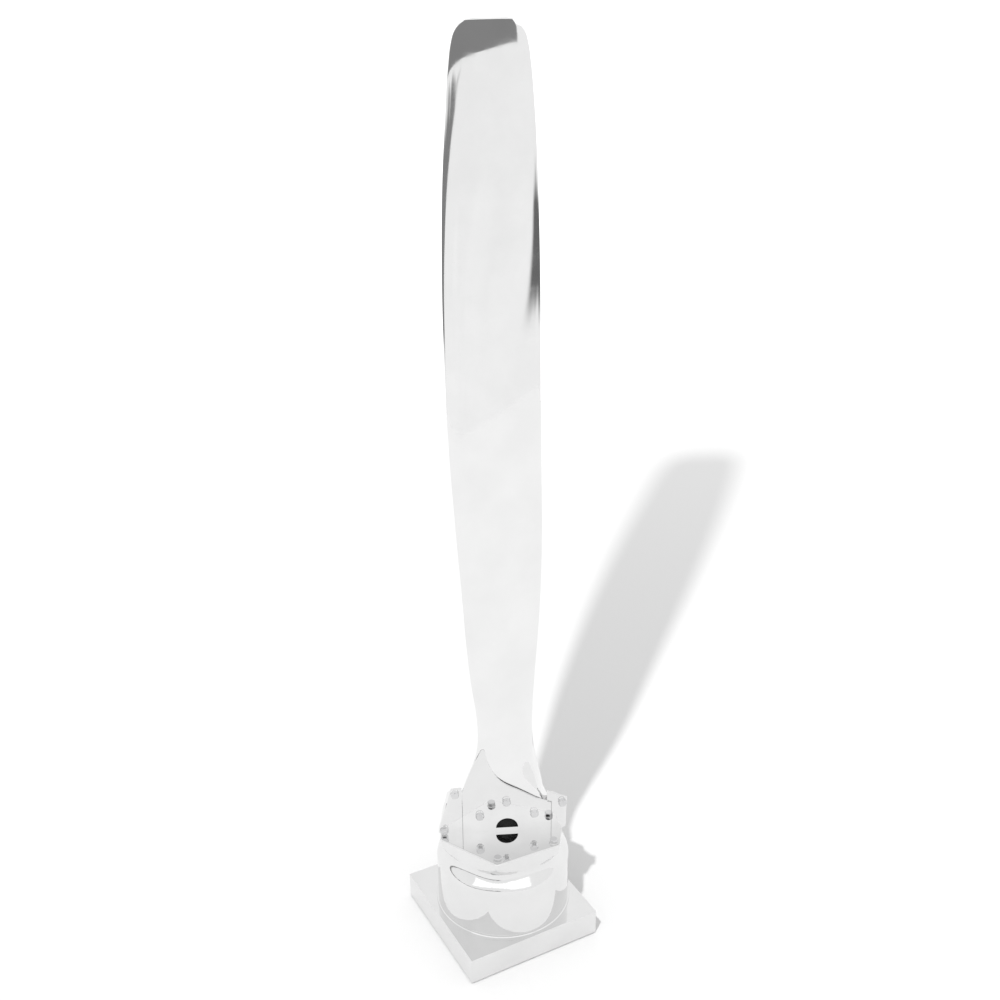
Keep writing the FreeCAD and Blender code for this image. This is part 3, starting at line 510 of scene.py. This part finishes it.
def add_lamp():
    """One lamp whose light doesn't fade with distance; with the floor's painted shade, the floor stays evenly
    white.
    """
    light = bpy.data.lights.new("lamp", "POINT")
    light.energy = LAMP_POWER
    light.shadow_soft_size = LAMP_RADIUS
    light.use_nodes = True
    tree = light.node_tree
    falloff = add(tree, "ShaderNodeLightFalloff", Strength=1.0)
    tree.links.new(falloff.outputs["Constant"], tree.nodes["Emission"].inputs["Strength"])
    lamp = bpy.data.objects.new("lamp", light)
    lamp.visible_glossy = False
    bpy.context.scene.collection.objects.link(lamp)
    lamp.location = from_camera(*LAMP_PLACE)


def join(tree, kind, *values):
    """The result of a Math node on numbers or other nodes' outputs."""
    node = tree.nodes.new("ShaderNodeMath")
    node.operation = kind
    for socket, value in zip(node.inputs, values):
        if isinstance(value, (int, float)):
            socket.default_value = value
        else:
            tree.links.new(value, socket)
    return node.outputs[0]


def soft_step(tree, value, edge, softness):
    """0 below the edge and 1 above it."""
    node = add(tree, "ShaderNodeMapRange", From_Min=edge - softness, From_Max=edge + softness)
    node.interpolation_type = "SMOOTHSTEP"
    tree.links.new(value, node.inputs["Value"])
    return node.outputs["Result"]


def studio_part(tree, heading, elevation, wander, left, right, low, high, lean, softness):
    """How much of a direction lies in one flag or panel."""
    drift = join(tree, "MULTIPLY", wander, softness)
    heading, elevation = join(tree, "ADD", heading, drift), join(tree, "ADD", elevation, drift)
    leaning = join(tree, "MULTIPLY", join(tree, "SUBTRACT", elevation, low), lean)
    edge = join(tree, "SUBTRACT", heading, leaning)
    inside = join(tree, "SUBTRACT", soft_step(tree, heading, left, softness),
                  soft_step(tree, edge, right, softness))
    foot, head = (soft_step(tree, elevation, level, softness) for level in (low, high))
    return join(tree, "MULTIPLY", inside, join(tree, "SUBTRACT", foot, head))


def add_world():
    """A white room with flags and panels that only the polish shows."""
    world = bpy.data.worlds.new("studio")
    bpy.context.scene.world = world
    world.use_nodes = True
    tree = world.node_tree
    place = tree.nodes.new("ShaderNodeTexCoord")
    turn = tree.nodes.new("ShaderNodeVectorRotate")
    turn.rotation_type = "Z_AXIS"
    turn.inputs["Angle"].default_value = math.radians(-CAMERA_AZIMUTH)
    tree.links.new(place.outputs["Generated"], turn.inputs["Vector"])
    split = tree.nodes.new("ShaderNodeSeparateXYZ")
    tree.links.new(turn.outputs["Vector"], split.inputs["Vector"])
    x, y, z = split.outputs
    wander = add(tree, "ShaderNodeTexNoise", Scale=EDGE_WANDER_SCALE, Detail=3.0)
    tree.links.new(place.outputs["Generated"], wander.inputs["Vector"])
    drift = join(tree, "MULTIPLY", join(tree, "SUBTRACT", wander.outputs["Fac"], 0.5), EDGE_WANDER)
    heading = join(tree, "DEGREES", join(tree, "ARCTAN2", x, join(tree, "MULTIPLY", y, -1.0)))
    elevation = join(tree, "DEGREES", join(tree, "ARCSINE", z))
    clouds = add(tree, "ShaderNodeTexNoise", Scale=ROOM_CLOUD_SCALE, Detail=2.0)
    tree.links.new(place.outputs["Generated"], clouds.inputs["Vector"])
    uneven = join(tree, "MULTIPLY", join(tree, "SUBTRACT", clouds.outputs["Fac"], 0.5), 2 * ROOM_UNEVENNESS)
    light = join(tree, "ADD", uneven, ROOM_LIGHT)
    for *edges, change in STUDIO_PARTS.values():
        part = studio_part(tree, heading, elevation, drift, *edges)
        light = join(tree, "MULTIPLY", light, join(tree, "ADD", 1.0, join(tree, "MULTIPLY", part, change)))
    rays = tree.nodes.new("ShaderNodeLightPath")
    seen = join(tree, "MAXIMUM", light, join(tree, "MULTIPLY", rays.outputs["Is Camera Ray"], BACKDROP_WHITE))
    background = tree.nodes["Background"]
    background.inputs["Color"].default_value = (1, 1, 1, 1)
    tree.links.new(seen, background.inputs["Strength"])


dress_cad_nodes()
add_blade()
add_drum()
add_camera()
add_floor()
add_tip_flag()
add_lamp()
add_world()
bpy.context.scene.view_settings.view_transform = "Standard"
